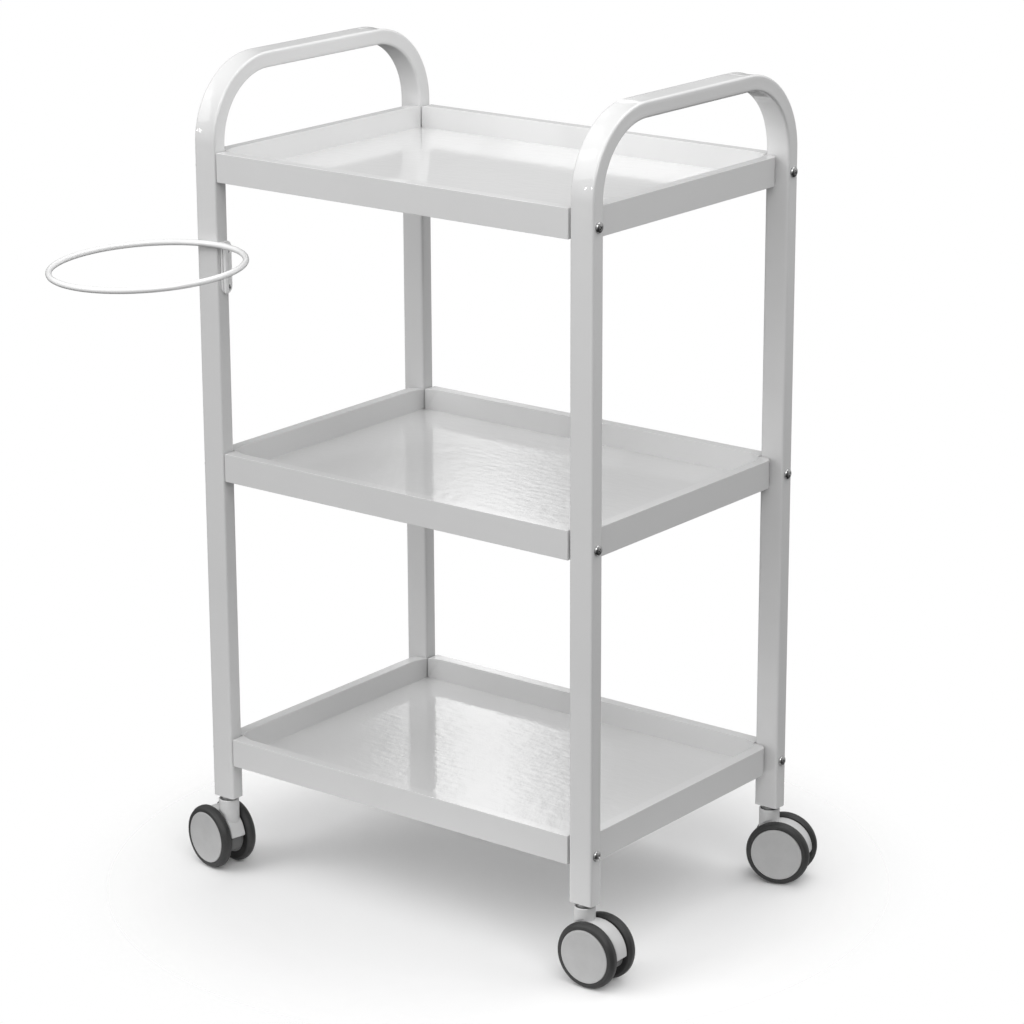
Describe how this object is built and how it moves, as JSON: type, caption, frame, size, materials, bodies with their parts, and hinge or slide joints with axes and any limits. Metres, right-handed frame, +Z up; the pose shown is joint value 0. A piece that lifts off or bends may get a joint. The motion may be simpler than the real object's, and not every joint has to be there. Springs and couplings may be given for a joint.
{
  "type": "rolling salon trolley",
  "caption": "White steel salon trolley with bent tube end frames, shallow folded trays, a wire ring holder and swivel casters.",
  "frame": {"origin": "centre of the whole object's box, on the floor", "axes": "+Z up; +X towards the right end frame along the long side of the trays; -Y is the front, where the ring holder reaches out"},
  "size_m": [0.5554, 0.5178, 0.788],
  "materials": {
    "frame": "glossy white powder coat",
    "tray": "glossy white powder coat",
    "wire": "glossy white powder coat",
    "screw": "bright plated steel",
    "plug": "moulded plastic",
    "stem": "plated steel",
    "housing": "satin light grey plastic",
    "hub": "satin light grey plastic",
    "tyre": "dark grey soft rubber",
    "axle": "plated steel"
  },
  "bodies": {
    "trolley": {"end_frame_left": "frame", "end_frame_right": "frame", "tray_top": "tray", "tray_middle": "tray", "tray_bottom": "tray", "screw_top_front_left": "screw", "screw_top_front_right": "screw", "screw_top_back_left": "screw", "screw_top_back_right": "screw", "screw_middle_front_left": "screw", "screw_middle_front_right": "screw", "screw_middle_back_left": "screw", "screw_middle_back_right": "screw", "screw_bottom_front_left": "screw", "screw_bottom_front_right": "screw", "screw_bottom_back_left": "screw", "screw_bottom_back_right": "screw", "ring_loop": "wire", "ring_stem": "wire", "ring_plate": "wire", "ring_screw_lower": "screw", "ring_screw_upper": "screw", "caster_front_left_plug": "plug", "caster_front_left_stem": "stem", "caster_front_right_plug": "plug", "caster_front_right_stem": "stem", "caster_back_left_plug": "plug", "caster_back_left_stem": "stem", "caster_back_right_plug": "plug", "caster_back_right_stem": "stem"},
    "swivel_front_left": {"caster_front_left_housing": "housing", "caster_front_left_axle": "axle"},
    "wheel_front_left_a": {"caster_front_left_hub_a": "hub", "caster_front_left_tyre_a": "tyre"},
    "wheel_front_left_b": {"caster_front_left_hub_b": "hub", "caster_front_left_tyre_b": "tyre"},
    "swivel_front_right": {"caster_front_right_housing": "housing", "caster_front_right_axle": "axle"},
    "wheel_front_right_a": {"caster_front_right_hub_a": "hub", "caster_front_right_tyre_a": "tyre"},
    "wheel_front_right_b": {"caster_front_right_hub_b": "hub", "caster_front_right_tyre_b": "tyre"},
    "swivel_back_left": {"caster_back_left_housing": "housing", "caster_back_left_axle": "axle"},
    "wheel_back_left_a": {"caster_back_left_hub_a": "hub", "caster_back_left_tyre_a": "tyre"},
    "wheel_back_left_b": {"caster_back_left_hub_b": "hub", "caster_back_left_tyre_b": "tyre"},
    "swivel_back_right": {"caster_back_right_housing": "housing", "caster_back_right_axle": "axle"},
    "wheel_back_right_a": {"caster_back_right_hub_a": "hub", "caster_back_right_tyre_a": "tyre"},
    "wheel_back_right_b": {"caster_back_right_hub_b": "hub", "caster_back_right_tyre_b": "tyre"}
  },
  "joints": [
    {"name": "swivel_front_left", "type": "hinge", "parent": "trolley", "child": "swivel_front_left", "pos_m": [-0.1983, -0.06826, 0.06], "axis": [0, 0, 1], "continuous": true},
    {"name": "spin_front_left_a", "type": "hinge", "parent": "swivel_front_left", "child": "wheel_front_left_a", "pos_m": [-0.21096, -0.0658, 0.0311], "axis": [-0.1908, -0.9816, 0], "continuous": true},
    {"name": "spin_front_left_b", "type": "hinge", "parent": "swivel_front_left", "child": "wheel_front_left_b", "pos_m": [-0.21096, -0.0658, 0.0311], "axis": [-0.1908, -0.9816, 0], "continuous": true},
    {"name": "swivel_front_right", "type": "hinge", "parent": "trolley", "child": "swivel_front_right", "pos_m": [0.2307, -0.06826, 0.06], "axis": [0, 0, 1], "continuous": true},
    {"name": "spin_front_right_a", "type": "hinge", "parent": "swivel_front_right", "child": "wheel_front_right_a", "pos_m": [0.2436, -0.06803, 0.0311], "axis": [-0.0175, 0.9998, 0], "continuous": true},
    {"name": "spin_front_right_b", "type": "hinge", "parent": "swivel_front_right", "child": "wheel_front_right_b", "pos_m": [0.2436, -0.06803, 0.0311], "axis": [-0.0175, 0.9998, 0], "continuous": true},
    {"name": "swivel_back_left", "type": "hinge", "parent": "trolley", "child": "swivel_back_left", "pos_m": [-0.1983, 0.22774, 0.06], "axis": [0, 0, 1], "continuous": true},
    {"name": "spin_back_left_a", "type": "hinge", "parent": "swivel_back_left", "child": "wheel_back_left_a", "pos_m": [-0.21092, 0.23042, 0.0311], "axis": [-0.2079, -0.9781, 0], "continuous": true},
    {"name": "spin_back_left_b", "type": "hinge", "parent": "swivel_back_left", "child": "wheel_back_left_b", "pos_m": [-0.21092, 0.23042, 0.0311], "axis": [-0.2079, -0.9781, 0], "continuous": true},
    {"name": "swivel_back_right", "type": "hinge", "parent": "trolley", "child": "swivel_back_right", "pos_m": [0.2307, 0.22774, 0.06], "axis": [0, 0, 1], "continuous": true},
    {"name": "spin_back_right_a", "type": "hinge", "parent": "swivel_back_right", "child": "wheel_back_right_a", "pos_m": [0.24297, 0.23173, 0.0311], "axis": [-0.309, 0.9511, 0], "continuous": true},
    {"name": "spin_back_right_b", "type": "hinge", "parent": "swivel_back_right", "child": "wheel_back_right_b", "pos_m": [0.24297, 0.23173, 0.0311], "axis": [-0.309, 0.9511, 0], "continuous": true}
  ]
}
